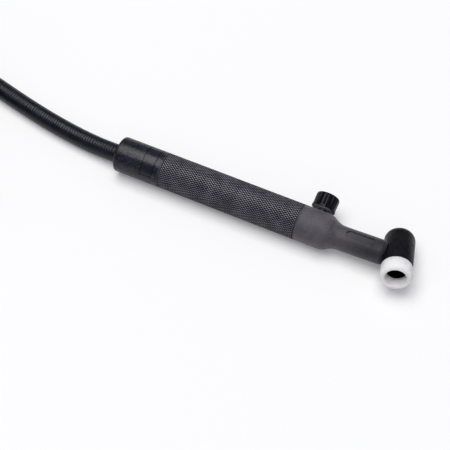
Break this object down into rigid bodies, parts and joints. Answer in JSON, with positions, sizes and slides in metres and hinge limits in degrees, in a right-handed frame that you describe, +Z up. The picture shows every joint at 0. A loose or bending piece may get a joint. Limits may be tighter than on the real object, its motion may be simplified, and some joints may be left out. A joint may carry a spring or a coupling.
{
  "type": "tig welding torch",
  "caption": "Gas-cooled welding torch: knurled round handle, necked front sleeve with a gas valve knob, angled head with a white insulating ring, and a power cable tied in a hank.",
  "frame": {"origin": "on the table under the middle of the torch, measured without its cable", "axes": "+X along the handle towards the head, +Z up from the table, the head leans towards -Y"},
  "size_m": [0.5916, 0.1333, 0.0624],
  "materials": {
    "knurled_phenolic": "fine diamond knurl, satin black",
    "satin_rubber": "smooth satin black",
    "band_tape": "satin black",
    "grey_nylon": "fine matte grain",
    "head_rubber": "smooth, slightly glossy",
    "white_ptfe": "smooth white",
    "brass": "turned",
    "copper": "drawn tube",
    "steel": "turned",
    "seal_rubber": "moulded",
    "knob_plastic": "glossy black",
    "cable_rubber": "satin black, faint ripples",
    "strap_fabric": "woven hook-and-loop strap"
  },
  "bodies": {
    "torch": {"handle": "knurled_phenolic", "rear_collar": "satin_rubber", "seam_tape": "band_tape", "front_sleeve": "grey_nylon", "head_core": "brass", "head_cover": "head_rubber", "cup_gasket": "white_ptfe", "neck_tube": "copper", "tail_tube": "copper", "valve_block": "brass", "valve_gland": "brass", "tail_nipple": "brass", "front_union_nut": "brass", "front_hose_nipple": "brass", "front_ferrule": "brass", "cable_run": "cable_rubber", "cable_hank": "cable_rubber", "cable_tail": "cable_rubber", "far_hank_tie": "strap_fabric", "near_hank_tie": "strap_fabric", "rear_ferrule": "brass", "rear_hose_nipple": "brass"},
    "stem_seal": {"stem_o_ring": "seal_rubber"},
    "valve_spindle": {"valve_stem": "steel", "valve_knob": "knob_plastic", "knob_screw": "steel"},
    "supply_nut": {"supply_nut": "brass"}
  },
  "joints": [
    {"name": "stem_lift", "type": "slide", "parent": "torch", "child": "stem_seal", "axis": [0, 0.969, 0.247], "range_m": [0, 0.0015]},
    {"name": "knob_turn", "type": "hinge", "parent": "stem_seal", "child": "valve_spindle", "pos_m": [0.0387, -0.00231, 0.0135], "axis": [0, 0.969, 0.247], "range_deg": [0, 540]},
    {"name": "supply_nut_spin", "type": "hinge", "parent": "torch", "child": "supply_nut", "pos_m": [-0.24414, -0.08402, 0.01275], "axis": [0.9976, 0.0698, 0], "continuous": true}
  ],
  "couplings": [
    {"joint": "knob_turn", "follows": "stem_lift", "rad_per_m": 6283.2}
  ]
}
